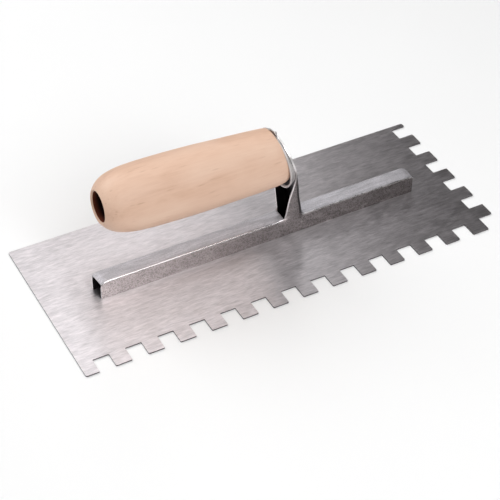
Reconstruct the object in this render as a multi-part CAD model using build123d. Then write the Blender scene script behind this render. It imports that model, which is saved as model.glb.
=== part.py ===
from build123d import *
import math
import os

# Notched trowel with a beech handle.
# Frame: origin at the centre of the blade's underside, +X along the blade
# (from the handle's free end towards the post), +Y towards the plain long
# edge, +Z up through the handle. Millimetres.

# ---------------------------------------------------------------- dimensions
# blade
BLADE_L = 279.4            # 11 in
BLADE_W = 114.3            # 4 1/2 in
BLADE_T = 0.8
NOTCH = 10.0               # square notch, width and depth
PITCH = 20.0               # notch to notch
FIRST_TOOTH = 8.2          # corner tooth at the left end of the front edge
FRONT_NOTCHES = 13
CORNER_X = 10.0            # cut-away front right corner
CORNER_Y = 11.1
SIDE_NOTCHES = 5
TOOTH_R = 0.5              # tooth tips and notch roots
CORNER_R = 1.0             # plain corners of the sheet

# bar of the bracket: inverted U lying on the blade
BAR_L = 213.4
BAR_W = 11.0
BAR_TOP = 13.5             # height of the bar's top face
SHEET = 1.2                # bracket sheet
BEND_R = 1.6               # outer bend radius along the bar's top edges

# post of the bracket: leaning back plate and two flared flanges
FLANGE_X = 14.8            # free edge of both flanges
BACK_X0 = 26.7             # back face of the back plate at BACK_Z0
BACK_Z0 = 14.9
BACK_SLOPE = -0.28         # change of x with z
HEAD_Z = 60.5              # centre of the round head
HEAD_R = 16.9
FOOT_R = 3.0               # flange edge to bar top
HEEL_R = 2.0               # back plate to bar top
# outer half-width of the post at heights above the blade's underside
POST_W = [(11.2, 5.5), (13.5, 5.5), (15.3, 5.8), (18.0, 6.55), (22.0, 7.6),
          (26.0, 8.45), (30.0, 9.25), (34.0, 10.3), (41.0, 12.9),
          (49.0, 15.3), (55.0, 16.5)]

# ferrule cup
CUP_LIP_X = 9.3
CUP_LIP_Z = 59.5
CUP_LIP_SLOPE = -0.087
CUP_LIP_R = 19.1
CUP_T = 1.2                # floor of the cup
CUP_WALL = 1.0             # side of the cup

# handle
HAND_X0 = -103.7           # centre of the free end
HAND_Z0 = 65.5
HAND_TILT = 2.307          # degrees, falling towards the post
HAND_PROFILE = [(0.0, 10.4), (1.3, 12.0), (3.2, 13.9), (5.7, 15.6), (9.1, 17.1),
                (17.1, 18.8), (28.6, 19.5), (45.7, 19.7), (62.9, 19.5),
                (80.0, 18.9), (97.2, 18.3), (104.0, 17.95), (108.0, 17.7),
                (110.5, 17.35), (113.0, 16.9), (114.3, 16.45), (115.3, 15.7)]
CBORE_R = 9.0
CBORE_DEPTH = 26.0
CBORE_CHAMFER = 0.9
BORE_R = 4.3

# tang rod, washer and nut
ROD_R = 4.0
ROD_PAST_NUT = 3.0
WASHER_R = 8.5
WASHER_T = 1.6
NUT_AF = 13.0
NUT_H = 6.5

# base strip and rivets
STRIP_T = 2.0
STRIP_L = 209.4
RIVET_X = (-90.0, -45.0, 0.0, 45.0, 90.0)
RIVET_R = 2.0
RIVET_HEAD_R = 3.4
RIVET_HEAD_H = 1.4

BIG = 400.0


def save(shape, name):
    shape.label = name
    export_step(shape, "parts/" + name + ".step")


def back_x(z):
    return BACK_X0 + BACK_SLOPE * (z - BACK_Z0)


def slab(x_at_zero, slope, side):
    """Half space beside the leaning plane x = x_at_zero + slope * z."""
    z0, z1 = -50.0, 150.0
    far = side * BIG
    pts = [(x_at_zero + slope * z0, z0), (x_at_zero + slope * z1, z1), (far, z1), (far, z0)]
    face = make_face(Polyline(*[(x, 0, z) for x, z in pts], close=True))
    return extrude(face, amount=BIG / 2, dir=(0, 1, 0), both=True)


X_AT_0 = BACK_X0 - BACK_SLOPE * BACK_Z0          # back face of the plate at z = 0
T_X = SHEET * math.sqrt(1 + BACK_SLOPE ** 2)     # plate thickness along X
CUP_T_X = CUP_T * math.sqrt(1 + BACK_SLOPE ** 2)

# --------------------------------------------------------------------- blade
hl, hw = BLADE_L / 2, BLADE_W / 2
pts = [(-hl, hw), (-hl, -hw)]
for i in range(FRONT_NOTCHES):
    x = -hl + FIRST_TOOTH + PITCH * i
    pts += [(x, -hw), (x, -hw + NOTCH), (x + NOTCH, -hw + NOTCH), (x + NOTCH, -hw)]
pts += [(hl - CORNER_X, -hw), (hl - CORNER_X, -hw + CORNER_Y)]
for j in range(SIDE_NOTCHES):
    y = -hw + CORNER_Y + PITCH * j
    pts += [(hl, y), (hl, y + NOTCH), (hl - NOTCH, y + NOTCH), (hl - NOTCH, y + PITCH)]
y = -hw + CORNER_Y + PITCH * SIDE_NOTCHES
pts += [(hl, y), (hl, hw)]


def rounded_outline(points, radius_of):
    """Closed outline of straight runs and corner arcs."""
    n = len(points)
    edges = []
    starts, ends = [], []
    for k in range(n):
        p0, p1, p2 = (Vector(*points[(k + d) % n], 0) for d in (-1, 0, 1))
        r = radius_of(k)
        a, b = (p0 - p1).normalized(), (p2 - p1).normalized()
        half = a.get_angle(b) / 2
        d = r / math.tan(math.radians(half))
        s, e = p1 + a * d, p1 + b * d
        c = p1 + (a + b).normalized() * (r / math.sin(math.radians(half)))
        m = c + (p1 - c).normalized() * r
        starts.append(s)
        ends.append(e)
        edges.append(ThreePointArc(s, m, e))
    for k in range(n):
        edges.append(Line(ends[k], starts[(k + 1) % n]))
    return make_face(Wire(edges))


corners = {0, 1, len(pts) - 1}
blade = extrude(rounded_outline(pts, lambda k: CORNER_R if k in corners else TOOTH_R), amount=BLADE_T)
for x in RIVET_X:
    blade -= Pos(x, 0, BLADE_T / 2) * Cylinder(RIVET_R, BLADE_T * 4)

# ------------------------------------------------------------------- bracket
# bar: inverted U
yo, yi = BAR_W / 2, BAR_W / 2 - SHEET
zt, zi = BAR_TOP, BAR_TOP - SHEET
ro, ri = BEND_R, BEND_R - SHEET


def u_face(y, z, r):
    q = r * (1 - math.sqrt(0.5))
    a = Line((0, -y, BLADE_T), (0, -y, z - r))
    b = ThreePointArc((0, -y, z - r), (0, -y + q, z - q), (0, -y + r, z))
    c = Line((0, -y + r, z), (0, y - r, z))
    d = ThreePointArc((0, y - r, z), (0, y - q, z - q), (0, y, z - r))
    e = Line((0, y, z - r), (0, y, BLADE_T))
    f = Line((0, y, BLADE_T), (0, -y, BLADE_T))
    return make_face(Wire([a, b, c, d, e, f]))


bar_outer = extrude(u_face(yo, zt, ro), amount=BAR_L / 2, dir=(1, 0, 0), both=True)
bar_inner = extrude(u_face(yi, zi, ri), amount=BAR_L / 2 + 1, dir=(1, 0, 0), both=True)
bar = bar_outer - bar_inner


# post: outline seen along X, extruded along X and trimmed by leaning planes
def post_half(inset):
    """Right half of the post's outline as (y, z), bottom to just below the head."""
    raw = POST_W
    out = []
    for k, (z, w) in enumerate(raw):
        z0, w0 = raw[max(k - 1, 0)]
        z1, w1 = raw[min(k + 1, len(raw) - 1)]
        dz, dw = z1 - z0, w1 - w0
        m = math.hypot(dz, dw)
        out.append((w - inset * dz / m, z + inset * dw / m))
    return out


def post_face(inset):
    r = HEAD_R - inset
    half = post_half(inset)
    half[0] = (half[0][0], POST_W[0][0])
    side = Spline(*[(0, w, z) for w, z in half] + [(0, r, HEAD_Z)], tangents=[(0, 0, 1), (0, 0, 1)])
    other = Spline(*[(0, -w, z) for w, z in half] + [(0, -r, HEAD_Z)], tangents=[(0, 0, 1), (0, 0, 1)])
    top = ThreePointArc((0, r, HEAD_Z), (0, 0, HEAD_Z + r), (0, -r, HEAD_Z))
    bottom = Line((0, half[0][0], half[0][1]), (0, -half[0][0], half[0][1]))
    return make_face(Wire([side, top, other, bottom]))


body = extrude(post_face(0.0), amount=60.0, dir=(1, 0, 0))
hollow = extrude(post_face(SHEET), amount=60.0, dir=(1, 0, 0))
left_of_back = slab(X_AT_0, BACK_SLOPE, -1)
left_of_front = slab(X_AT_0 - T_X, BACK_SLOPE, -1)
beyond_flange = Pos(FLANGE_X + BIG / 2, 0, 50) * Box(BIG, BIG, BIG)

plate = (body & left_of_back) - left_of_front
flanges = ((body - hollow) & left_of_front) & beyond_flange
post = plate + flanges

# opening in the bar's top wall below the hollow of the post
front_at_top = X_AT_0 - T_X + BACK_SLOPE * zt
opening = Pos((FLANGE_X + front_at_top) / 2, 0, zi) * Box(front_at_top - FLANGE_X, 2 * yi, 2 * SHEET + 1.5)

# concave foot where each flange edge runs into the bar's top edge
foot = []
for s in (-1, 1):
    x0, z0 = FLANGE_X - FOOT_R, BAR_TOP + FOOT_R
    q = FOOT_R * math.sqrt(0.5)
    w = Wire([Line((x0, 0, BAR_TOP - 2.2), (x0, 0, BAR_TOP)),
              ThreePointArc((x0, 0, BAR_TOP), (x0 + q, 0, z0 - q), (FLANGE_X, 0, z0)),
              Line((FLANGE_X, 0, z0), (FLANGE_X + 0.4, 0, z0)),
              Line((FLANGE_X + 0.4, 0, z0), (FLANGE_X + 0.4, 0, BAR_TOP - 2.2)),
              Line((FLANGE_X + 0.4, 0, BAR_TOP - 2.2), (x0, 0, BAR_TOP - 2.2))])
    f = extrude(make_face(w), amount=SHEET, dir=(0, 1, 0))
    foot.append(Pos(0, yi if s > 0 else -yo, 0) * f)

# heel: small concave bend where the back plate meets the bar's top face
hx = back_x(BAR_TOP)
a = math.atan(-BACK_SLOPE)                      # lean from the vertical
open_angle = math.pi / 2 + a
d = HEEL_R / math.tan(open_angle / 2)
p_bar = (hx + d, BAR_TOP)
p_up = (hx - d * math.sin(a), BAR_TOP + d * math.cos(a))
c = (hx + d, BAR_TOP + HEEL_R)
m = math.hypot(c[0] - hx, c[1] - BAR_TOP)
mid = (c[0] - (c[0] - hx) / m * HEEL_R, c[1] - (c[1] - BAR_TOP) / m * HEEL_R)
heel_w = Wire([Line((hx - 0.6, 0, BAR_TOP - 0.5), (p_bar[0], 0, BAR_TOP - 0.5)),
               Line((p_bar[0], 0, BAR_TOP - 0.5), (p_bar[0], 0, p_bar[1])),
               ThreePointArc((p_bar[0], 0, p_bar[1]), (mid[0], 0, mid[1]), (p_up[0], 0, p_up[1])),
               Line((p_up[0], 0, p_up[1]), (p_up[0] - 0.6, 0, p_up[1])),
               Line((p_up[0] - 0.6, 0, p_up[1]), (hx - 0.6, 0, BAR_TOP - 0.5))])
heel = extrude(make_face(heel_w), amount=yo - 0.9, dir=(0, 1, 0), both=True)

# handle axis and the tang rod's place on it
tilt = math.radians(HAND_TILT)
axis_dir = Vector(math.cos(tilt), 0, -math.sin(tilt))
hand_o = Vector(HAND_X0, 0, HAND_Z0)


def on_axis(shape, s=0.0):
    """Place a shape made along +X from the origin on the handle's axis."""
    p = hand_o + axis_dir * s
    return Pos(p.X, p.Y, p.Z) * Rot(0, HAND_TILT, 0) * shape


def rod_along(r, s0, s1):
    return on_axis(Pos((s0 + s1) / 2, 0, 0) * Rot(0, 90, 0) * Cylinder(r, s1 - s0))


rod_bore = rod_along(ROD_R, 60, 140)
bracket = (bar - opening) + post
for f in foot:
    bracket += f
bracket += heel
bracket -= rod_bore

# -------------------------------------------------------------- base strip
strip = Pos(0, 0, BLADE_T + STRIP_T / 2) * Box(STRIP_L, 2 * yi, STRIP_T)
for x in RIVET_X:
    strip -= Pos(x, 0, BLADE_T + STRIP_T / 2) * Cylinder(RIVET_R, STRIP_T * 3)

# ------------------------------------------------------------------- rivets
zr = BLADE_T + STRIP_T
head_ball_r = (RIVET_HEAD_R ** 2 + RIVET_HEAD_H ** 2) / (2 * RIVET_HEAD_H)
head = Pos(0, 0, zr + RIVET_HEAD_H - head_ball_r) * Sphere(head_ball_r)
head &= Pos(0, 0, zr + BIG / 2) * Box(BIG, BIG, BIG)
rivet = Pos(0, 0, zr / 2) * Cylinder(RIVET_R, zr) + head
rivets = Compound(children=[Pos(x, 0, 0) * rivet for x in RIVET_X])

# -------------------------------------------------------------- ferrule cup
FLOOR_X = X_AT_0 - T_X + BACK_SLOPE * HEAD_Z     # head plate's left face at HEAD_Z


def disc(x, z, slope, r):
    n = Vector(1, 0, -slope).normalized()
    pl = Plane(origin=(x, 0, z), x_dir=(0, 1, 0), z_dir=(n.X, n.Y, n.Z))
    return pl * Circle(r)


cup_outer = loft([disc(CUP_LIP_X, CUP_LIP_Z, CUP_LIP_SLOPE, CUP_LIP_R),
                  disc(FLOOR_X, HEAD_Z, BACK_SLOPE, HEAD_R)])
lip_in = CUP_LIP_R - CUP_WALL
floor_in = HEAD_R - CUP_T
cup_inner = loft([disc(CUP_LIP_X - 0.35, CUP_LIP_Z + 0.02, CUP_LIP_SLOPE, lip_in + 0.1),
                  disc(FLOOR_X - CUP_T_X, HEAD_Z, BACK_SLOPE, floor_in)])
cup = (cup_outer - cup_inner) - rod_bore - bracket

# ------------------------------------------------------------------- handle
prof = [(s, 0, r) for s, r in HAND_PROFILE]
edge_l = Line((0, 0, CBORE_R), (0, 0, HAND_PROFILE[0][1]))
edge_o = Spline(*prof)
length = HAND_PROFILE[-1][0]
edge_r = Line((length, 0, HAND_PROFILE[-1][1]), (length, 0, BORE_R))
edge_b = Polyline((length, 0, BORE_R), (CBORE_DEPTH, 0, BORE_R), (CBORE_DEPTH, 0, CBORE_R),
                  (CBORE_CHAMFER, 0, CBORE_R), (0, 0, CBORE_R + CBORE_CHAMFER))
edge_l = Line((0, 0, CBORE_R + CBORE_CHAMFER), (0, 0, HAND_PROFILE[0][1]))
handle_face = make_face(Wire([edge_l, edge_o, edge_r] + edge_b.edges()))
handle = on_axis(revolve(handle_face, Axis.X))
# the post end is cut on the slant to bed on the floor of the cup
handle &= slab(X_AT_0 - T_X - CUP_T_X, BACK_SLOPE, -1)
handle -= cup

# ------------------------------------------------------- tang rod, washer, nut
s_nut = CBORE_DEPTH - WASHER_T - NUT_H
rod = rod_along(ROD_R, s_nut - ROD_PAST_NUT, 135.0) & left_of_back
washer = rod_along(WASHER_R, CBORE_DEPTH - WASHER_T, CBORE_DEPTH) - rod_along(ROD_R, 0, 60)
hexa = extrude(Plane.YZ * RegularPolygon(NUT_AF / 2, 6, major_radius=False), amount=NUT_H)
nut = on_axis(Pos(s_nut, 0, 0) * hexa) - rod_along(ROD_R, 0, 60)

# -------------------------------------------------------------------- export
os.makedirs("parts", exist_ok=True)
save(blade, "blade")
save(bracket, "bracket")
save(strip, "base_strip")
save(rivets, "blade_rivets")
save(cup, "ferrule_cup")
save(handle, "handle")
save(rod, "tang_rod")
save(washer, "tang_washer")
save(nut, "tang_nut")
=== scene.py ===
import math
import random

import bmesh
import bpy
from mathutils import Matrix, Vector


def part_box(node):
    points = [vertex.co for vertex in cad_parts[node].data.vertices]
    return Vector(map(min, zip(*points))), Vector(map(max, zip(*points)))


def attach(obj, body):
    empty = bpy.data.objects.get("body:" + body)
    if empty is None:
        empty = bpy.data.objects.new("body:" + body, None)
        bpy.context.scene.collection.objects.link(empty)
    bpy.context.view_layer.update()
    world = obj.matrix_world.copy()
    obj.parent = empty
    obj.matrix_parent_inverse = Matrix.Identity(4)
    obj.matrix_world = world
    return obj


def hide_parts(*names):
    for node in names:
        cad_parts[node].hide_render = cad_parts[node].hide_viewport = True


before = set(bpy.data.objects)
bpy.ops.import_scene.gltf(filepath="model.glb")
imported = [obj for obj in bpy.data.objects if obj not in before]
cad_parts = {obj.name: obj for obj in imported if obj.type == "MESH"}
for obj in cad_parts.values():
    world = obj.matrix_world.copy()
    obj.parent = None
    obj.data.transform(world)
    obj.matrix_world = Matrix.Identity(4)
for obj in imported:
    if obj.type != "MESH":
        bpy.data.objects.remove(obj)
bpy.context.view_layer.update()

MM = 0.001
scene = bpy.context.scene
scene.view_settings.view_transform = "Standard"
scene.view_settings.look = "None"


# ------------------------------------------------------------------ helpers
def new_object(name, verts, faces, smooth=True):
    """A mesh from vertices in millimetres."""
    me = bpy.data.meshes.new(name)
    me.from_pydata([(x * MM, y * MM, z * MM) for x, y, z in verts], [], faces)
    me.validate()
    bm = bmesh.new()
    bm.from_mesh(me)
    bmesh.ops.remove_doubles(bm, verts=bm.verts, dist=1e-7)
    bmesh.ops.recalc_face_normals(bm, faces=bm.faces)
    bm.to_mesh(me)
    bm.free()
    for p in me.polygons:
        p.use_smooth = smooth
    ob = bpy.data.objects.new(name, me)
    scene.collection.objects.link(ob)
    return ob


def bake_modifiers(ob):
    """Replace the object's mesh by its evaluated one."""
    bpy.context.view_layer.update()
    dg = bpy.context.evaluated_depsgraph_get()
    me = bpy.data.meshes.new_from_object(ob.evaluated_get(dg))
    old = ob.data
    ob.modifiers.clear()
    ob.data = me
    bpy.data.meshes.remove(old)
    return ob


def sharp_shading(ob, degrees, flat_over=None):
    """Smooth faces, with edges over this angle kept sharp, and the rims of faces
    over an area (square mm) too."""
    me = ob.data
    bm = bmesh.new()
    bm.from_mesh(me)
    for f in bm.faces:
        f.smooth = True
    for e in bm.edges:
        if len(e.link_faces) == 2:
            e.smooth = e.calc_face_angle(0.0) < math.radians(degrees)
            if flat_over and max(f.calc_area() for f in e.link_faces) > flat_over * MM * MM:
                e.smooth = False
    bm.to_mesh(me)
    bm.free()


def place(ob, body, slot, *nodes):
    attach(ob, body)
    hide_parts(*nodes)


def lathe(name, profile, frame_of, segments=64, closed=True, radius_of=None):
    """Turn a profile of (s, r) about an axis. frame_of(s) gives the point and two
    unit vectors across the axis. closed joins the last profile point to the first."""
    verts, faces = [], []
    for s, r in profile:
        p, e1, e2 = frame_of(s)
        for k in range(segments):
            a = 2 * math.pi * k / segments
            rr = r if radius_of is None else radius_of(s, r, a)
            q = p + e1 * (rr * math.cos(a)) + e2 * (rr * math.sin(a))
            verts.append((q.x, q.y, q.z))
    n = len(profile)
    for i in range(n if closed else n - 1):
        j = (i + 1) % n
        for k in range(segments):
            m = (k + 1) % segments
            faces.append((i * segments + k, i * segments + m, j * segments + m, j * segments + k))
    return new_object(name, verts, faces)


def interp(table, x):
    if x <= table[0][0]:
        return table[0][1]
    for (x0, y0), (x1, y1) in zip(table, table[1:]):
        if x <= x1:
            return y0 + (y1 - y0) * (x - x0) / (x1 - x0)
    return table[-1][1]


def smooth_interp(table, x):
    """Catmull-Rom through the table's points."""
    n = len(table)
    if x <= table[0][0]:
        return table[0][1]
    if x >= table[-1][0]:
        return table[-1][1]
    i = max(k for k in range(n - 1) if table[k][0] <= x)
    x0, y0 = table[i]
    x1, y1 = table[i + 1]
    h = x1 - x0

    def slope(k):
        a, b = max(k - 1, 0), min(k + 1, n - 1)
        return (table[b][1] - table[a][1]) / (table[b][0] - table[a][0])
    t = (x - x0) / h
    m0, m1 = slope(i) * h, slope(i + 1) * h
    return ((2 * t ** 3 - 3 * t ** 2 + 1) * y0 + (t ** 3 - 2 * t ** 2 + t) * m0
            + (-2 * t ** 3 + 3 * t ** 2) * y1 + (t ** 3 - t ** 2) * m1)


# ------------------------------------------------------------------ materials
def nodes_of(name):
    m = bpy.data.materials.new(name)
    m.use_nodes = True
    nt = m.node_tree
    return m, nt, nt.nodes["Principled BSDF"]


def ramp(nt, stops, interpolation="LINEAR"):
    r = nt.nodes.new("ShaderNodeValToRGB")
    r.color_ramp.interpolation = interpolation
    el = r.color_ramp.elements
    while len(el) > 1:
        el.remove(el[-1])
    el[0].position, el[0].color = stops[0][0], (*stops[0][1], 1)
    for p, c in stops[1:]:
        e = el.new(p)
        e.color = (*c, 1)
    return r


def coords(nt, scale, rot=(0, 0, 0), loc=(0, 0, 0)):
    tc = nt.nodes.new("ShaderNodeTexCoord")
    mp = nt.nodes.new("ShaderNodeMapping")
    mp.inputs["Scale"].default_value = scale
    mp.inputs["Rotation"].default_value = rot
    mp.inputs["Location"].default_value = loc
    nt.links.new(tc.outputs["Object"], mp.inputs["Vector"])
    return mp.outputs["Vector"]


def noise(nt, vec, scale, detail=4.0, rough=0.5, distortion=0.0):
    n = nt.nodes.new("ShaderNodeTexNoise")
    n.inputs["Scale"].default_value = scale
    n.inputs["Detail"].default_value = detail
    n.inputs["Roughness"].default_value = rough
    n.inputs["Distortion"].default_value = distortion
    nt.links.new(vec, n.inputs["Vector"])
    return n.outputs["Fac"]


def math_node(nt, op, a, b=None, c=None, clamp=False):
    n = nt.nodes.new("ShaderNodeMath")
    n.operation = op
    n.use_clamp = clamp
    for i, x in enumerate((a, b, c)):
        if x is None:
            continue
        if isinstance(x, (int, float)):
            n.inputs[i].default_value = x
        else:
            nt.links.new(x, n.inputs[i])
    return n.outputs[0]


def mix(nt, fac, a, b, mode="MIX"):
    n = nt.nodes.new("ShaderNodeMix")
    n.data_type = "RGBA"
    n.blend_type = mode
    if isinstance(fac, (int, float)):
        n.inputs[0].default_value = fac
    else:
        nt.links.new(fac, n.inputs[0])
    for i, x in ((6, a), (7, b)):
        if isinstance(x, tuple):
            n.inputs[i].default_value = (*x, 1)
        else:
            nt.links.new(x, n.inputs[i])
    return n.outputs[2]


def map_range(nt, x, a, b, c, d):
    n = nt.nodes.new("ShaderNodeMapRange")
    nt.links.new(x, n.inputs[0])
    for i, val in enumerate((a, b, c, d)):
        n.inputs[i + 1].default_value = val
    return n.outputs[0]


def bump(nt, height, strength, distance, normal=None):
    n = nt.nodes.new("ShaderNodeBump")
    n.inputs["Strength"].default_value = strength
    n.inputs["Distance"].default_value = distance
    nt.links.new(height, n.inputs["Height"])
    if normal is not None:
        nt.links.new(normal, n.inputs["Normal"])
    return n.outputs["Normal"]


def steel(name, tint, low, high, rough, grain=(0.06, 1.0, 1.0), grain_scale=900.0, grain_bump=0.25, mottle=0.0,
          mottle_scale=350.0, wave=0.0, smudge=0.1, edge=None, brushed=0.0, faces=None):
    """Brushed sheet steel: fine lines along X, broad unevenness, faint smudges; edge= paints shade on the edge faces,
    and faces= paints reflection tints on walls and tops and a highlight along the folds.
    """
    m, nt, b = nodes_of(name)
    line = noise(nt, coords(nt, grain), grain_scale, 6.0, 0.62)
    line2 = noise(nt, coords(nt, (grain[0] * 3, grain[1], grain[2]), loc=(0.3, 0.1, 0)), grain_scale * 0.28, 4.0, 0.55)
    broad = noise(nt, coords(nt, (0.35, 1.0, 1.0)), 34.0, 3.0, 0.5, 0.3)
    spots = noise(nt, coords(nt, (1, 1, 1), loc=(0.07, 0.02, 0)), 90.0, 4.0, 0.6)
    base = ramp(nt, [(0.36, tuple(c * low for c in tint)), (0.64, tuple(c * high for c in tint))])
    fac = math_node(nt, "ADD", math_node(nt, "MULTIPLY", line, 0.5), math_node(nt, "MULTIPLY", line2, 0.5))
    nt.links.new(fac, base.inputs["Fac"])
    col = mix(nt, map_range(nt, broad, 0.3, 0.7, 0.0, smudge), base.outputs["Color"], tuple(c * low * 0.75 for c in tint))
    height = math_node(nt, "ADD", math_node(nt, "MULTIPLY", line, 0.6), math_node(nt, "MULTIPLY", line2, 0.4))
    if mottle:
        mo = noise(nt, coords(nt, (1, 1, 1)), mottle_scale, 5.0 if faces is None else 1.5, 0.65)
        lo_, hi_ = (0.35, 0.7) if faces is None else (0.44, 0.64)
        amount = map_range(nt, mo, lo_, hi_, 0.0, mottle)
        if faces is not None:                  # the walls are speckled more than the top
            tc = nt.nodes.new("ShaderNodeTexCoord")
            sep = nt.nodes.new("ShaderNodeSeparateXYZ")
            nt.links.new(tc.outputs["Normal"], sep.inputs[0])
            amount = math_node(nt, "MULTIPLY", amount,
                               map_range(nt, math_node(nt, "ABSOLUTE", sep.outputs["Y"]), 0.3, 0.9, 0.35, 1.0))
        col = mix(nt, amount, col, tuple(c * low * 0.42 for c in tint))
        height = math_node(nt, "ADD", height, math_node(nt, "MULTIPLY", mo, 0.9))
    if edge is not None:                       # painted shade: the sheet's edge faces, whose normals lie off the vertical, are darkened
        tc = nt.nodes.new("ShaderNodeTexCoord")
        sep = nt.nodes.new("ShaderNodeSeparateXYZ")
        nt.links.new(tc.outputs["Normal"], sep.inputs[0])
        up_facing = math_node(nt, "ABSOLUTE", sep.outputs["Z"])
        col = mix(nt, map_range(nt, up_facing, 0.25, 0.6, 1.0, 0.0), col, tuple(c * edge * 0.45 for c in tint))
    b.inputs["Metallic"].default_value = 1.0
    r = math_node(nt, "ADD", map_range(nt, line2, 0.3, 0.7, rough - 0.035, rough + 0.035),
                  map_range(nt, spots, 0.35, 0.75, -0.02, 0.05))
    if faces is not None:                      # walls, folds and tops differ in roughness; walls and tops get painted reflection tints and the folds a painted highlight
        (wall, wall_reflection_tint), (fold, fold_highlight), (top, top_reflection_tint) = faces
        tc = nt.nodes.new("ShaderNodeTexCoord")
        sep = nt.nodes.new("ShaderNodeSeparateXYZ")
        nt.links.new(tc.outputs["Normal"], sep.inputs[0])
        nz = math_node(nt, "SQRT", math_node(nt, "SUBTRACT", 1.0, math_node(nt, "MULTIPLY", sep.outputs["Y"],
                                                                            sep.outputs["Y"]), clamp=True))
        rr = ramp(nt, [(0.0, (wall - rough + 0.5,) * 3), (0.38, (wall - rough + 0.5,) * 3),
                       (0.58, (fold - rough + 0.5,) * 3), (0.90, (fold - rough + 0.5,) * 3),
                       (0.985, (top - rough + 0.5,) * 3)])
        nt.links.new(nz, rr.inputs["Fac"])
        r = math_node(nt, "ADD", r, math_node(nt, "SUBTRACT", rr.outputs["Color"], 0.5))
        # painted reflection colour: walls are tinted warmer and darker, tops cooler and lighter
        tt = ramp(nt, [(0.45, wall_reflection_tint), (0.9, top_reflection_tint)])
        nt.links.new(nz, tt.inputs["Fac"])
        col = mix(nt, 1.0, col, tt.outputs["Color"], "MULTIPLY")
        # painted highlight: the rounded folds between wall and top are lightened towards near white, broken up by
        # noise
        fold_highlight_mask = ramp(nt, [(0.42, (0.0,) * 3), (0.62, (fold_highlight,) * 3), (0.88, (fold_highlight,) * 3), (0.97, (0.0,) * 3)])
        nt.links.new(nz, fold_highlight_mask.inputs["Fac"])
        highlight_breakup = map_range(nt, noise(nt, coords(nt, (0.5, 1.0, 1.0), loc=(0.4, 0, 0)), 300.0, 3.0, 0.6), 0.3, 0.6, 0.78, 1.0)
        col = mix(nt, math_node(nt, "MULTIPLY", fold_highlight_mask.outputs["Color"], highlight_breakup), col, tuple(min(0.94, c * 0.94) for c in tint))
    nt.links.new(col, b.inputs["Base Color"])
    nt.links.new(r, b.inputs["Roughness"])
    nrm = bump(nt, height, grain_bump, 0.00002)
    if wave:
        low_wave = noise(nt, coords(nt, (0.5, 1.0, 1.0), loc=(0.5, 0.2, 0)), 9.0, 1.0, 0.4)
        nrm = bump(nt, low_wave, wave, 0.002, nrm)
    nt.links.new(nrm, b.inputs["Normal"])
    if brushed:                                # the gloss spreads across the brushing
        tg = nt.nodes.new("ShaderNodeTangent")
        tg.direction_type = "UV_MAP"
        tg.uv_map = "brushing"
        nt.links.new(tg.outputs["Tangent"], b.inputs["Tangent"])
        b.inputs["Anisotropic"].default_value = brushed
    return m


def beech():
    m, nt, b = nodes_of("beech_wood")
    # broad growth bands run along the handle
    bands = noise(nt, coords(nt, (0.35, 1.0, 1.0), rot=(0.0, 0.04, 0.0)), 62.0, 4.0, 0.5, 0.5)
    fibre = noise(nt, coords(nt, (0.05, 1.0, 1.0), rot=(0.0, 0.04, 0.0)), 900.0, 5.0, 0.6)
    base = ramp(nt, [(0.30, (0.69, 0.435, 0.305)), (0.48, (0.79, 0.535, 0.40)), (0.72, (0.855, 0.615, 0.475))])
    fac = math_node(nt, "ADD", math_node(nt, "MULTIPLY", bands, 0.72), math_node(nt, "MULTIPLY", fibre, 0.28))
    nt.links.new(fac, base.inputs["Fac"])
    # short dark flecks, longer along the grain
    vo = nt.nodes.new("ShaderNodeTexVoronoi")
    vo.inputs["Scale"].default_value = 420.0
    vo.inputs["Randomness"].default_value = 1.0
    nt.links.new(coords(nt, (0.14, 1.0, 1.0), rot=(0.0, 0.04, 0.0)), vo.inputs["Vector"])
    fleck = map_range(nt, vo.outputs["Distance"], 0.06, 0.24, 1.0, 0.0)
    gate = map_range(nt, noise(nt, coords(nt, (0.4, 1, 1), loc=(0.2, 0, 0)), 160.0, 2.0, 0.5), 0.45, 0.62, 0.0, 1.0)
    fl = math_node(nt, "MULTIPLY", math_node(nt, "MULTIPLY", fleck, gate), 0.42)
    col = mix(nt, fl, base.outputs["Color"], (0.50, 0.275, 0.165))
    nt.links.new(col, b.inputs["Base Color"])
    nt.links.new(map_range(nt, fibre, 0.3, 0.7, 0.42, 0.56), b.inputs["Roughness"])
    b.inputs["Specular IOR Level"].default_value = 0.35
    h = math_node(nt, "ADD", math_node(nt, "MULTIPLY", fibre, 0.7), math_node(nt, "MULTIPLY", fl, -0.8))
    nt.links.new(bump(nt, h, 0.22, 0.00005), b.inputs["Normal"])
    return m


def bore_wood():
    """Wood inside the counterbore, painted dark as shade: lighter red-brown at the mouth, near black deeper in."""
    m, nt, b = nodes_of("bored_wood")
    n = noise(nt, coords(nt, (1.0, 1.0, 0.4)), 420.0, 5.0, 0.65)
    r = ramp(nt, [(0.3, (0.009, 0.002, 0.002)), (0.7, (0.026, 0.006, 0.005))])
    nt.links.new(n, r.inputs["Fac"])
    tc = nt.nodes.new("ShaderNodeTexCoord")     # painted shade: the lighter red-brown is kept only near the mouth
    sep = nt.nodes.new("ShaderNodeSeparateXYZ")
    nt.links.new(tc.outputs["Object"], sep.inputs[0])
    mouth = map_range(nt, sep.outputs["X"], -0.1034, -0.0996, 0.85, 0.0)
    col = mix(nt, mouth, r.outputs["Color"], (0.21, 0.050, 0.022))
    nt.links.new(col, b.inputs["Base Color"])
    nt.links.new(map_range(nt, n, 0.3, 0.7, 0.55, 0.75), b.inputs["Roughness"])
    b.inputs["Specular IOR Level"].default_value = 0.12
    nt.links.new(bump(nt, n, 0.4, 0.0001), b.inputs["Normal"])
    return m


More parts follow.
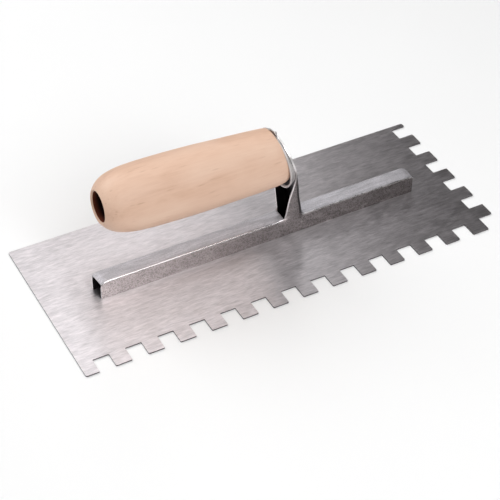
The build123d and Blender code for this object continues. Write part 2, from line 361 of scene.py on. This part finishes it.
def floor_material():
    m, nt, b = nodes_of("pale_floor")
    n = noise(nt, coords(nt, (1, 1, 1)), 6.0, 2.0, 0.5)
    r = ramp(nt, [(0.2, (0.955, 0.955, 0.955)), (0.8, (0.975, 0.975, 0.975))])
    nt.links.new(n, r.inputs["Fac"])
    nt.links.new(r.outputs["Color"], b.inputs["Base Color"])
    b.inputs["Roughness"].default_value = 0.9
    b.inputs["Specular IOR Level"].default_value = 0.1
    return m


# edge=0.30 paints shade on the blade's edge faces
m_blade = steel("blade_brushed", (1.0, 0.945, 0.97), 0.54, 0.82, 0.45, grain=(0.07, 1.0, 1.0), grain_scale=2400.0,
                grain_bump=0.13, smudge=0.05, edge=0.30, brushed=0.85)
# faces: walls get a warmer, darker painted reflection tint, folds a painted highlight of 0.8, tops a cooler, lighter
# painted reflection tint
m_bracket = steel("bracket_rolled", (1.0, 0.965, 0.985), 0.50, 0.78, 0.44, grain=(0.08, 1.0, 1.0), grain_scale=1100.0,
                  grain_bump=0.3, mottle=0.62, mottle_scale=1200.0, smudge=0.15,
                  faces=((0.22, (0.89, 0.86, 0.83)), (0.27, 0.8), (0.66, (0.97, 0.975, 1.0))))
# painted highlight: a lighter steel for the cut rims of the sheet, so they show as bright lines
m_rim_highlight = steel("sheared_edge_painted_highlight", (1.0, 0.975, 0.97), 0.74, 0.90, 0.38, grain=(1.0, 1.0, 1.0), grain_scale=700.0,
               grain_bump=0.2, mottle=0.2, mottle_scale=1500.0)
# painted shade: near-black steel laid on the folds up the post
m_fold_shade = steel("folded_corner_painted_shade", (1.0, 0.95, 0.97), 0.09, 0.20, 0.42, grain=(1.0, 1.0, 0.2), grain_scale=700.0,
               grain_bump=0.3, mottle=0.3, mottle_scale=1200.0)
m_cup = steel("cup_satin", (1.0, 0.95, 0.935), 0.60, 0.78, 0.50, grain=(1.0, 1.0, 0.2), grain_scale=500.0,
              grain_bump=0.15, mottle=0.12, mottle_scale=500.0)
# painted shade: near-black steel for inner faces, so the insides of the bar, post and cup read dark
m_inside_shade = steel("inside_painted_shade", (1.0, 0.93, 1.0), 0.035, 0.09, 0.36, grain=(1.0, 1.0, 0.12), grain_scale=700.0,
                 grain_bump=0.25, mottle=0.3, mottle_scale=500.0)
m_fast = steel("zinc_plain", (1.0, 0.99, 0.98), 0.5, 0.7, 0.33, grain=(1.0, 1.0, 1.0), grain_scale=400.0, grain_bump=0.1,
               mottle=0.2, mottle_scale=700.0)
m_beech = beech()
m_bore = bore_wood()

# ------------------------------------------------- dimensions from the frame
def mm_box(node):
    lo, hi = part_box(node)
    return [c / MM for c in lo], [c / MM for c in hi]


(bl_lo, bl_hi) = mm_box("blade")
(br_lo, br_hi) = mm_box("bracket")
(ha_lo, ha_hi) = mm_box("handle")
(st_lo, st_hi) = mm_box("base_strip")

# ------------------------------------------------------------------- blade
NOTCH, PITCH = 10.0, 20.0


def arc_corner(p0, p1, p2, r, steps):
    a = (p0 - p1).normalized()
    b = (p2 - p1).normalized()
    half = a.angle(b) / 2
    d = r / math.tan(half)
    s, e = p1 + a * d, p1 + b * d
    c = p1 + (a + b).normalized() * (r / math.sin(half))
    out = []
    v0, v1 = s - c, e - c
    ang = v0.angle(v1)
    for i in range(steps + 1):
        t = i / steps
        w0, w1 = math.sin((1 - t) * ang) / math.sin(ang), math.sin(t * ang) / math.sin(ang)
        out.append(c + v0 * w0 + v1 * w1)
    return out


def make_blade():
    x0, x1, y0, y1 = bl_lo[0], bl_hi[0], bl_lo[1], bl_hi[1]
    pts = [(x0, y1), (x0, y0)]
    for i in range(13):
        x = x0 + 8.2 + PITCH * i
        pts += [(x, y0), (x, y0 + NOTCH), (x + NOTCH, y0 + NOTCH), (x + NOTCH, y0)]
    pts += [(x1 - 10, y0), (x1 - 10, y0 + 11.1)]
    for j in range(5):
        y = y0 + 11.1 + PITCH * j
        pts += [(x1, y), (x1, y + NOTCH), (x1 - NOTCH, y + NOTCH), (x1 - NOTCH, y + PITCH)]
    pts += [(x1, y0 + 11.1 + 100.0), (x1, y1)]
    n = len(pts)
    loop = []
    for k in range(n):
        p0, p1, p2 = (Vector((*pts[(k + d) % n], 0)) for d in (-1, 0, 1))
        r = 1.0 if k in (0, 1, n - 1) else 0.5
        loop += arc_corner(p0, p1, p2, r, 4)
    t = bl_hi[2]
    verts = [(p.x, p.y, 0.0) for p in loop] + [(p.x, p.y, t) for p in loop]
    m = len(loop)
    faces = [tuple(range(m))[::-1], tuple(range(m, 2 * m))]
    faces += [(k, (k + 1) % m, m + (k + 1) % m, m + k) for k in range(m)]
    ob = new_object("steel_blade", verts, faces, smooth=False)
    cut = []
    for x in RIVETS:
        c = lathe("cutter", [(-1.0, 0.001), (-1.0, 2.02), (2.0, 2.02), (2.0, 0.001)],
                  lambda s, x=x: (Vector((x, 0, s)), Vector((1, 0, 0)), Vector((0, 1, 0))), 32, closed=True)
        cut.append(c)
    for c in cut:
        md = ob.modifiers.new("hole", "BOOLEAN")
        md.operation = "DIFFERENCE"
        md.solver = "EXACT"
        md.object = c
    md = ob.modifiers.new("edge", "BEVEL")
    md.width = 0.10 * MM
    md.segments = 2
    md.limit_method = "ANGLE"
    md.angle_limit = math.radians(50)
    bake_modifiers(ob)
    for c in cut:
        bpy.data.objects.remove(c)
    sharp_shading(ob, 50, flat_over=200.0)
    me = ob.data                            # u runs across the brushing
    uv = me.uv_layers.new(name="brushing")
    for lp in me.loops:
        c = me.vertices[lp.vertex_index].co
        uv.data[lp.index].uv = (c.y * 5 + c.z * 2 + 0.5, c.x * 3 + c.z * 1.3 + 0.5)
    return ob


RIVETS = (-90.0, -45.0, 0.0, 45.0, 90.0)

# ----------------------------------------------------------------- bracket
SHEET = 1.2
TOP = 13.5
FLANGE_X = 14.8
HEAD_Z, HEAD_R = 60.5, 16.9
POST_W = [(11.2, 5.5), (13.5, 5.5), (15.3, 5.8), (18.0, 6.55), (22.0, 7.6), (26.0, 8.45),
          (30.0, 9.25), (34.0, 10.3), (41.0, 12.9), (49.0, 15.3), (55.0, 16.5), (60.5, 16.9)]


def back_x(z):
    return 26.7 - 0.28 * (z - 14.9)


def make_bracket():
    V, F = [], []

    def v(p):
        V.append(tuple(p))
        return len(V) - 1

    def quad(a, b, c, d):
        F.append((a, b, c, d))

    # bar cross-section, near half: wall bottom to the middle of the top.
    # drop rolls the sheared end of the top down
    def section(x, drop=0.0):
        near = [(x, -5.5, 0.8), (x, -5.5, 1.5), (x, -5.5, 5.5), (x, -5.5, TOP - 1.9 - drop * 0.5),
                (x, -5.36, TOP - 0.14 - drop), (x, -3.6, TOP - drop * 0.9), (x, -1.9, TOP - drop * 0.85)]
        mid = (x, 0.0, TOP - drop * 0.85)
        far = [(x, -y, z) for x, y, z in near[::-1]]
        return near + [mid] + far                       # 15 points; S is 3, M 4, T 5, Q 6, P 7

    def strip(rows):
        for r0, r1 in zip(rows, rows[1:]):
            for i in range(len(r0) - 1):
                quad(r0[i], r0[i + 1], r1[i + 1], r1[i])

    left = [(-106.7, 1.9), (-105.9, 1.35), (-104.7, 0.6), (-103.2, 0.1)]
    left += [(x, 0.0) for x in (-101, -80, -50, -22, 2, 9.4)]
    rows = [[v((px - (1.3 * (py + 5.5) / 11.0 if x < -102 else 0.0), py, pz)) for px, py, pz in section(x, d)]
            for x, d in left]
    # last cross-section of the left part: the strip turns up into the flanges
    turn = section(15.4)
    turn = [list(p) for p in turn]
    for i, m in ((3, 11), (4, 10), (5, 9), (6, 8), (7, 7)):
        for j in {i, m}:
            s = -1 if j < 7 else (1 if j > 7 else 0)
            if i == 3:
                turn[j] = [17.4, s * 5.5, TOP - 2.4]
            if i == 4:
                turn[j] = [14.35, s * 5.46, TOP + 0.65]
            if i == 5:
                turn[j] = [14.5, s * 3.9, TOP]
            if i == 6:
                turn[j] = [14.6, s * 1.9, TOP]
            if i == 7:
                turn[j] = [14.6, 0.0, TOP]
    for j in (0, 1, 2, 12, 13, 14):
        turn[j][0] = 17.0
    turn_row = [v(p) for p in turn]
    rows.append(turn_row)
    strip(rows)

    # heel cross-section and the bar to its right
    heel = [list(p) for p in section(27.0)]
    for j in range(15):
        s = -1 if j < 7 else (1 if j > 7 else 0)
        i = min(j, 14 - j)
        if i <= 2:
            heel[j][0] = 24.9
        if i == 3:
            heel[j] = [24.7, s * 5.5, TOP - 2.2]
        if i == 4:
            heel[j] = [26.6, s * 5.36, TOP - 0.4]
        if i == 5:
            heel[j] = [27.1, s * 3.7, TOP + 0.05]
        if i == 6:
            heel[j] = [27.15, s * 1.9, TOP + 0.05]
        if i == 7:
            heel[j] = [27.15, 0.0, TOP + 0.05]
    heel_row = [v(p) for p in heel]
    right = [(x, 0.0) for x in (29.0, 33, 52, 76, 101)] + [(103.2, 0.1), (104.7, 0.45), (105.9, 0.95), (106.7, 1.3)]
    rows = [heel_row] + [[v(p) for p in section(x, d)] for x, d in right]
    strip(rows)

    # side walls under the post
    for side in (0, 1):
        col = [0, 1, 2, 3] if side == 0 else [14, 13, 12, 11]
        mid = [v((21.4, (-1 if side == 0 else 1) * 5.5, z)) for z in (0.8, 1.5, 5.5, TOP - 2.3)]
        a = [turn_row[i] for i in col]
        b = [heel_row[i] for i in col]
        for i in range(3):
            quad(a[i], a[i + 1], mid[i + 1], mid[i])
            quad(mid[i], mid[i + 1], b[i + 1], b[i])
        if side == 0:
            near_mid = mid[3]
        else:
            far_mid = mid[3]

    # post rows: f0, fA, fB, S, M, T, Q, P, Q', T', M', S', fB', fA', f0'
    def half_row(z, w, depth, q=0.5, edge=1.9):
        """Near half of a post row at one height, as (x, y, z) with y negative."""
        xb = back_x(z)
        if depth >= 3.4:
            f0 = (xb - depth, w)
            s = (xb - 1.9, w)
            fa = (f0[0] + (s[0] - f0[0]) * 0.30, w)
            fb = (f0[0] + (s[0] - f0[0]) * 0.68, w)
            m = (xb - 0.27, w - 0.27)
            t = (xb, w - 1.9)
        else:
            def bez(u):
                return (xb - depth * u * u, w - edge * (1 - u) ** 2)
            f0, fa, fb, s, m, t = bez(1), bez(0.87), bez(0.73), bez(0.58), bez(0.33), bez(0)
        out = [f0, fa, fb, s, m, t, (xb, (w - 1.9) * q), (xb, 0.0)]
        return [(x, -y, z) for x, y in out]

    def both(half):
        return half + [(x, -y, z) for x, y, z in half[-2::-1]]

    prows = []
    # bottom row shares the bar's vertices
    bottom = [turn_row[4], turn_row[3], near_mid, heel_row[3], heel_row[4], heel_row[5], heel_row[6], heel_row[7],
              heel_row[8], heel_row[9], heel_row[10], heel_row[11], far_mid, turn_row[11], turn_row[10]]
    prows.append(bottom)
    for z in (15.9, 18.8, 22.6, 27.5, 33.5, 39.5, 45.0, 49.5, 53.0):
        w = smooth_interp(POST_W, z)
        prows.append([v(p) for p in both(half_row(z, w, back_x(z) - FLANGE_X))])

    # head: rows bow upwards towards the rim of the disc
    def plane(y, z, dx=0.0):
        return (back_x(z) - dx, y, z)

    def rim(a, r=HEAD_R):
        a = math.radians(a)
        return r * math.cos(a), HEAD_Z + r * math.sin(a)

    for a, zc in ((-14, 57.0), (0, 61.0), (14, 65.0), (27, 68.6), (38, 71.6)):
        yb, zb = rim(a)
        depth = max(back_x(zb) - FLANGE_X, 0.0)
        half = []
        for u in (1.0, 0.87, 0.73, 0.58, 0.33, 0.0):
            rr = HEAD_R - 1.9 * (1 - u) ** 2
            y, z = rim(a + (1 - u) * 1.2, rr)
            half.append(plane(-y, z, depth * u * u))
        yt, zt_ = rim(a + 1.2, HEAD_R - 1.9)
        half.append(plane(-yt * 0.5, zc + (zt_ - zc) * 0.3))
        half.append(plane(0, zc))
        prows.append([v(p) for p in both(half)])
    # last two rows run round the top of the disc
    for angles, radii in (((46, 49.5, 53, 56.5, 60.5, 64, 77, 90), (16.9, 16.5, 16.1, 15.7, 15.3, 15.0, 15.0, 15.0)),
                          ((53, 56, 59, 62, 65.5, 69, 79.5, 90), (16.9,) * 8)):
        half = []
        for a, r in zip(angles, radii):
            y, z = rim(a, r)
            half.append(plane(-y, z))
        half[-1] = (half[-1][0], 0.0, half[-1][2])
        prows.append([v(p) for p in both(half)])
    strip(prows)

    ob = new_object("steel_bracket", V, F)
    me = ob.data
    # outer faces look outwards
    top = [p for p in me.polygons if abs(p.center.z / MM - TOP) < 0.2 and p.center.x / MM > 60]
    if top and top[0].normal.z < 0:
        me.flip_normals()
    # slots: outer steel, painted shade inside, painted shade on the folds, the folds' inner side, and the
    # painted-highlight rims
    for m in (m_bracket, m_inside_shade, m_fold_shade, m_inside_shade, m_rim_highlight):
        me.materials.append(m)
    for p in me.polygons:                   # the folds up the post take the dark fold material: painted shade
        x, y, z = (c / MM for c in p.center)
        if 14.6 < z < 57.0 and back_x(z) - x < 1.5 and smooth_interp(POST_W, z) - abs(y) < 1.5:
            p.material_index = 2
    md = ob.modifiers.new("sheet", "SOLIDIFY")
    md.material_offset = 1                  # the inner side of the sheet takes the near-black painted-shade material
    # the cut rims take the lighter rim material, a painted highlight
    md.material_offset_rim = 4
    md.thickness = SHEET * MM
    md.offset = -1.0
    md.use_even_offset = True
    md.use_quality_normals = True
    md.edge_crease_inner = 0.62
    md.edge_crease_outer = 0.62
    md = ob.modifiers.new("smooth", "SUBSURF")
    md.levels = md.render_levels = 3
    bake_modifiers(ob)
    for p in ob.data.polygons:
        p.use_smooth = True
    return ob


# --------------------------------------------------------------- ferrule cup
def unit_plane(slope):
    """Up direction inside a plane whose x changes by slope with z."""
    return Vector((slope, 0, 1)).normalized()


LIP_C, LIP_SLOPE, LIP_R = Vector((9.3, 0, 59.5)), -0.087, 19.1
T_X = SHEET * math.sqrt(1 + 0.28 ** 2)
FLOOR_C, FLOOR_SLOPE, FLOOR_R = Vector((back_x(HEAD_Z) - T_X, 0, HEAD_Z)), -0.28, 16.9


def make_cup():
    N = 128
    verts, faces, rings = [], [], []
    ey = Vector((0, 1, 0))
    fu, lu = unit_plane(FLOOR_SLOPE), unit_plane(LIP_SLOPE)
    fn = Vector((1, 0, -FLOOR_SLOPE)).normalized()
    for k in range(N):
        a = 2 * math.pi * k / N
        df = ey * math.cos(a) + fu * math.sin(a)
        dl = ey * math.cos(a) + lu * math.sin(a)
        pf = FLOOR_C + df * FLOOR_R
        pl = LIP_C + dl * LIP_R
        wall = (pl - pf)
        wl = wall.length
        w = wall / wl
        # direction across the wall, towards the inside
        inn = (-df - w * (-df).dot(w)).normalized()
        t = 1.0 + 0.75 * min(1.0, max(0.0, (math.sin(a) + 0.25) / 0.8))
        c = min(1.1, wl * 0.45)
        prof = [FLOOR_C + df * 4.15, FLOOR_C + df * 9.0, FLOOR_C + df * (FLOOR_R - 1.2)]
        for i in range(1, 6):                       # outer corner
            u = i / 6
            p0, p1, p2 = FLOOR_C + df * (FLOOR_R - 1.2), pf, pf + w * c
            prof.append(p0 * (1 - u) ** 2 + p1 * 2 * u * (1 - u) + p2 * u * u)
        prof.append(pf + w * c)
        for u in (0.35, 0.6, 0.85):
            prof.append(pf + w * (c + (wl - c - 0.5) * u))
        # rounded lip
        lip_mid = pf + w * (wl - t / 2) + inn * (t / 2)
        for i in range(0, 9):
            b = math.pi * i / 8
            prof.append(lip_mid - inn * (t / 2) * math.cos(b) + w * (t / 2) * math.sin(b))
        inner_len = max(wl - t, 0.25)
        for u in (0.8, 0.5, 0.2):
            prof.append(pf + inn * t + w * (t + (inner_len - t / 2) * u if wl > 2.4 else inner_len * (0.5 + 0.3 * u)))
        base = pf + inn * t
        # inner floor corner and floor
        prof.append(FLOOR_C - fn * t + df * (FLOOR_R - t - 0.15))
        prof.append(FLOOR_C - fn * t + df * (FLOOR_R - t - 1.2))
        prof.append(FLOOR_C - fn * t + df * 9.0)
        prof.append(FLOOR_C - fn * t + df * 4.15)
        rings.append(prof)
    M = len(rings[0])
    for prof in rings:
        verts += [(p.x, p.y, p.z) for p in prof]
    for k in range(N):
        k2 = (k + 1) % N
        for i in range(M):
            j = (i + 1) % M
            faces.append((k * M + i, k * M + j, k2 * M + j, k2 * M + i))
    ob = new_object("ferrule_ring", verts, faces)
    for m in (m_cup, m_inside_shade):
        ob.data.materials.append(m)
    # the cup's inner faces below z 52 take the painted-shade material
    for p in ob.data.polygons:
        i = min(v % M for v in p.vertices)
        inner = 21 <= i < M - 1 and max(v % M for v in p.vertices) - i < 3
        p.material_index = 1 if inner and p.center.z / MM < 52.0 else 0
    sharp_shading(ob, 45)
    return ob


# -------------------------------------------------------------------- handle
TILT = math.radians(2.307)
AX = Vector((math.cos(TILT), 0, -math.sin(TILT)))
AO = Vector((-103.7, 0, 65.5))
E1 = Vector((0, 1, 0))
E2 = AX.cross(E1)


def on_axis(s):
    return AO + AX * s, E1, E2


HAND = [(0.0, 10.4), (1.3, 12.0), (3.2, 13.9), (5.7, 15.6), (9.1, 17.1), (17.1, 18.8), (28.6, 19.5), (45.7, 19.7),
        (62.9, 19.5), (80.0, 18.9), (97.2, 18.3), (104.0, 17.95), (108.0, 17.7), (110.5, 17.35), (113.0, 16.9),
        (114.3, 16.45), (115.3, 15.7)]


def make_handle():
    prof = []
    s = 0.35
    while s < 115.2:
        prof.append((s, smooth_interp(HAND, s) - 0.02))
        s += 0.4 if s < 6 or s > 104 else 1.2
    prof.append((115.25, 15.6))
    prof = [(0.02, 10.15), (0.1, 10.3)] + prof
    end = [(115.3, 15.2), (115.3, 8.0), (115.3, 4.32), (114.8, 4.3), (70.0, 4.3), (26.4, 4.3), (26.02, 4.4),
           (26.0, 4.8), (26.0, 7.0), (26.0, 8.6), (25.9, 8.9), (25.6, 9.0), (14.0, 9.0), (6.0, 9.0), (1.4, 9.0),
           (1.0, 9.05), (0.6, 9.3), (0.25, 9.65), (0.03, 9.85)]
    prof += end
    rnd = random.Random(7)
    waves = [(rnd.uniform(0.02, 0.09), rnd.uniform(0, 6.28), rnd.randint(1, 4), rnd.uniform(0.01, 0.03)) for _ in range(7)]

    def radius_of(s, r, a):
        if r < 9.9:
            return r
        d = sum(amp * math.sin(s * f + ph + n * a) for f, ph, n, amp in waves)
        return r + d * min(1.0, s / 20.0) - 0.1

    ob = lathe("beech_handle", prof, on_axis, 160, closed=True, radius_of=radius_of)
    for m in (m_beech, m_bore):
        ob.data.materials.append(m)
    # the counterbore's walls take the bore material, painted dark as shade
    for p in ob.data.polygons:
        q = p.center / MM - AO
        s_mid = q.dot(AX)
        if (q - AX * s_mid).length < 9.06 and 0.9 < s_mid < 60:
            p.material_index = 1
    # the post end is cut on the slant to bed on the floor of the cup
    for p in ob.data.vertices:
        x, z = p.co.x / MM, p.co.z / MM
        lim = back_x(z) - 2 * T_X - 0.02
        if x > lim:
            p.co.x = lim * MM
    sharp_shading(ob, 50)
    return ob


# ---------------------------------------------------- tang rod, nut, washer
S_NUT = 26.0 - 1.6 - 6.5


def make_rod():
    verts, faces = [], []
    N = 40
    s0, s1, s2 = S_NUT - 3.0, S_NUT + 16.0, 113.2
    stations = []
    s = s0
    while s < s1:
        stations.append(s)
        s += 0.125
    stations += [s1, s1 + 1.0, 60, 90, s2]
    pitch, depth = 1.25, 0.62
    for s in stations:
        p, e1, e2 = on_axis(s)
        for k in range(N):
            a = 2 * math.pi * k / N
            r = 3.98
            if s < s1:
                ph = (s / pitch - k / N) % 1.0
                tri = abs(ph - 0.5) * 2
                r -= depth * min(1.0, max(0.0, (tri - 0.1) / 0.75))
            cham = max(0.0, 1.0 - (s - s0))
            r = min(r, 3.98 - 0.85 * cham)
            if s >= s1:
                r = 3.98
            q = p + e1 * (r * math.cos(a)) + e2 * (r * math.sin(a))
            verts.append((q.x, q.y, q.z))
    n = len(stations)
    for i in range(n - 1):
        for k in range(N):
            m = (k + 1) % N
            faces.append((i * N + k, i * N + m, (i + 1) * N + m, (i + 1) * N + k))
    for base, s in ((0, s0), ((n - 1) * N, s2)):
        c = on_axis(s)[0]
        verts.append((c.x, c.y, c.z))
        ci = len(verts) - 1
        for k in range(N):
            faces.append((base + k, base + (k + 1) % N, ci))
    ob = new_object("threaded_rod", verts, faces)
    sharp_shading(ob, 40)
    return ob


def make_rivet_over():
    """Peened end of the rod on the back of the head plate."""
    n = Vector((1, 0, 0.28)).normalized()
    up = Vector((-0.28, 0, 1)).normalized()
    t = (AO.x + 0.0)
    # point where the axis meets the back face
    s = 100.0
    for _ in range(20):
        p = AO + AX * s
        s += (back_x(p.z) - p.x) / (AX.x + 0.28 * AX.z)
    c = AO + AX * s
    prof = [(-0.9, 0.02), (-0.9, 3.95), (-0.05, 3.98), (0.0, 5.3), (0.25, 5.42), (0.62, 5.1), (1.0, 4.2), (1.25, 2.8),
            (1.36, 1.4), (1.38, 0.02)]
    rnd = random.Random(11)
    ph = [rnd.uniform(0, 6.28) for _ in range(4)]

    def wob(s_, r, a):
        if s_ < 0 or r < 1:
            return r
        return r * (1 + 0.018 * math.sin(3 * a + ph[0]) + 0.012 * math.sin(5 * a + ph[1]) + 0.008 * math.sin(9 * a + ph[2]))

    ob = lathe("rod_end_peened", prof, lambda q: (c + n * q, Vector((0, 1, 0)), up), 48, closed=True, radius_of=wob)
    return ob


def make_washer():
    a, b = S_NUT + 6.5, 26.0
    prof = [(a + 0.02, 4.1), (a, 4.25), (a, 8.2), (a + 0.1, 8.42), (a + 0.35, 8.5), (b - 0.3, 8.5), (b - 0.02, 8.3),
            (b - 0.02, 4.2)]
    ob = lathe("steel_washer", prof, on_axis, 72)
    sharp_shading(ob, 40)
    return ob


def make_nut():
    AF, N = 13.0, 96
    a, b = S_NUT, S_NUT + 6.5 - 0.02
    verts, faces = [], []
    c0 = AF / 2 * 0.985

    def hexr(ang):
        m = (ang + math.pi / 6) % (math.pi / 3) - math.pi / 6
        return AF / 2 / math.cos(m)

    rings = [("h", a + 0.7, 3.45), ("h", a, 4.15), ("h", a, c0 - 0.4), ("c", a, 0.0), ("c", a, 1.0),
             ("m", (a + b) / 2, 0), ("c", b, 1.0), ("c", b, 0.0), ("h", b, c0 - 0.4), ("h", b, 4.15), ("h", b - 0.7, 3.45)]
    for kind, s, r in rings:
        for k in range(N):
            ang = 2 * math.pi * k / N
            hr = hexr(ang)
            ss = s
            if kind == "h":
                rr = r
            elif kind == "m":
                rr = hr
            else:
                drop = (hr - c0) * math.tan(math.radians(30))
                sg = 1 if s == a else -1
                if r == 0.0:
                    rr = c0
                else:
                    rr = hr
                    ss = s + sg * drop
            p, e1, e2 = on_axis(ss)
            q = p + e1 * (rr * math.cos(ang)) + e2 * (rr * math.sin(ang))
            verts.append((q.x, q.y, q.z))
    n = len(rings)
    for i in range(n):
        j = (i + 1) % n
        for k in range(N):
            m = (k + 1) % N
            faces.append((i * N + k, i * N + m, j * N + m, j * N + k))
    ob = new_object("hex_nut", verts, faces)
    sharp_shading(ob, 20)
    return ob


# ------------------------------------------------------ base strip and rivets
def make_strip():
    bm = bmesh.new()
    bmesh.ops.create_cube(bm, size=1.0)
    sx, sy, sz = (st_hi[i] - st_lo[i] for i in range(3))
    cx, cy, cz = ((st_hi[i] + st_lo[i]) / 2 for i in range(3))
    for p in bm.verts:
        p.co = Vector(((cx + p.co.x * (sx - 0.1)) * MM, (cy + p.co.y * (sy - 0.1)) * MM, (cz + p.co.z * sz) * MM))
    bmesh.ops.bevel(bm, geom=list(bm.edges), offset=0.25 * MM, segments=2, profile=0.5, affect="EDGES")
    me = bpy.data.meshes.new("base_plate")
    bm.to_mesh(me)
    bm.free()
    ob = bpy.data.objects.new("base_plate", me)
    scene.collection.objects.link(ob)
    sharp_shading(ob, 35)
    return ob


def make_rivets():
    verts, faces = [], []
    N = 40
    prof = [(0.03, 0.0), (0.03, 1.2), (0.02, 1.75), (0.08, 1.93), (0.2, 1.98), (2.75, 1.98), (2.78, 3.25), (2.95, 3.4),
            (3.3, 3.3), (3.75, 2.7), (4.08, 1.6), (4.19, 0.6), (4.2, 0.0)]
    for x in RIVETS:
        base = len(verts)
        for z, r in prof:
            r = max(r, 0.01)
            for k in range(N):
                a = 2 * math.pi * k / N
                verts.append((x + r * math.cos(a), r * math.sin(a), z))
        for i in range(len(prof) - 1):
            for k in range(N):
                m = (k + 1) % N
                faces.append((base + i * N + k, base + i * N + m, base + (i + 1) * N + m, base + (i + 1) * N + k))
        faces.append(tuple(base + k for k in range(N)))
        faces.append(tuple(base + (len(prof) - 1) * N + k for k in range(N)))
    ob = new_object("rivet_row", verts, faces)
    sharp_shading(ob, 40)
    return ob


pieces = [
    (make_blade(), m_blade, "blade_steel", "blade"),
    (make_bracket(), m_bracket, "bracket_steel", "bracket"),
    # the base plate inside the bar takes the painted-shade material, so the bar's inside reads black
    (make_strip(), m_inside_shade, "bracket_steel", "base_strip"),
    (make_rivets(), m_fast, "fastener_steel", "blade_rivets"),
    (make_cup(), m_cup, "cup_steel", "ferrule_cup"),
    (make_handle(), m_beech, "beech", "handle"),
    (make_rod(), m_fast, "fastener_steel", "tang_rod"),
    (make_rivet_over(), m_fast, "fastener_steel", "tang_rod"),
    (make_washer(), m_fast, "fastener_steel", "tang_washer"),
    (make_nut(), m_fast, "fastener_steel", "tang_nut"),
]
for ob, mat, slot, node in pieces:
    if not ob.data.materials:
        ob.data.materials.append(mat)
    place(ob, "root", slot, node)

# ------------------------------------------------------------- floor, lights
me = bpy.data.meshes.new("floor")
S = 3.0
me.from_pydata([(-S, -S, -0.0002), (S, -S, -0.0002), (S, S, -0.0002), (-S, S, -0.0002)], [], [(0, 1, 2, 3)])
floor = bpy.data.objects.new("floor", me)
floor.data.materials.append(floor_material())
scene.collection.objects.link(floor)

world = bpy.data.worlds.new("studio")
scene.world = world
world.use_nodes = True
bg = world.node_tree.nodes["Background"]
bg.inputs["Color"].default_value = (1.0, 0.98, 0.98, 1)
bg.inputs["Strength"].default_value = 0.01


def softbox(name, azimuth, elevation, distance, wide, high, radiance, color=(1, 1, 1)):
    """A rectangular light, its size given as full angles seen from the object.
    Azimuth 0 is +Y and 90 is +X."""
    d = bpy.data.lights.new(name, "AREA")
    d.shape = "RECTANGLE"
    d.size = 2 * distance * math.tan(math.radians(wide / 2))
    d.size_y = 2 * distance * math.tan(math.radians(high / 2))
    d.energy = radiance * math.pi * d.size * d.size_y
    d.color = color
    ob = bpy.data.objects.new(name, d)
    a, e = math.radians(azimuth), math.radians(elevation)
    t = Vector((0, 0, 0.02))
    ob.location = t + Vector((math.sin(a) * math.cos(e), math.cos(a) * math.cos(e), math.sin(e))) * distance
    ob.rotation_euler = (t - ob.location).to_track_quat("-Z", "Y").to_euler()
    scene.collection.objects.link(ob)
    return ob


softbox("box_back_m35", -35, 44, 1.5, 30, 44, 3.25)
softbox("box_back_m10", -10, 44, 1.5, 20, 44, 1.2)
softbox("box_back_21", 21, 44, 1.5, 10, 44, 1.5)
softbox("box_back_30", 30, 44, 1.5, 8, 44, 1)
softbox("box_high", 90, 78, 1.5, 44, 6, 5)
softbox("box_zenith", 20, 84, 1.5, 26, 26, 0.9)
softbox("box_front_160", 159, 42, 1.5, 8, 34, 0.8)
softbox("box_front_168", 168, 42, 1.5, 10, 34, 5.4)
softbox("box_front_190", 188, 45, 1.5, 30, 40, 3.1)
softbox("box_left", 270, 45, 1.5, 46, 44, 0.45)
softbox("box_right", 100, 26, 1.5, 44, 30, 0.4)

# -------------------------------------------------------------------- camera
cam = bpy.data.cameras.new("camera")
cam.sensor_width = 36.0
cam.lens = 108.59
cam.clip_start, cam.clip_end = 0.05, 20.0
camera = bpy.data.objects.new("camera", cam)
right = Vector((0.87823, -0.47785, 0.01917))
up = Vector((0.30679, 0.59370, 0.74391))
back = right.cross(up)
camera.matrix_world = Matrix(((right.x, up.x, back.x, -0.34299), (right.y, up.y, back.y, -0.59470),
                              (right.z, up.z, back.z, 0.60695), (0, 0, 0, 1)))
scene.collection.objects.link(camera)
scene.camera = camera
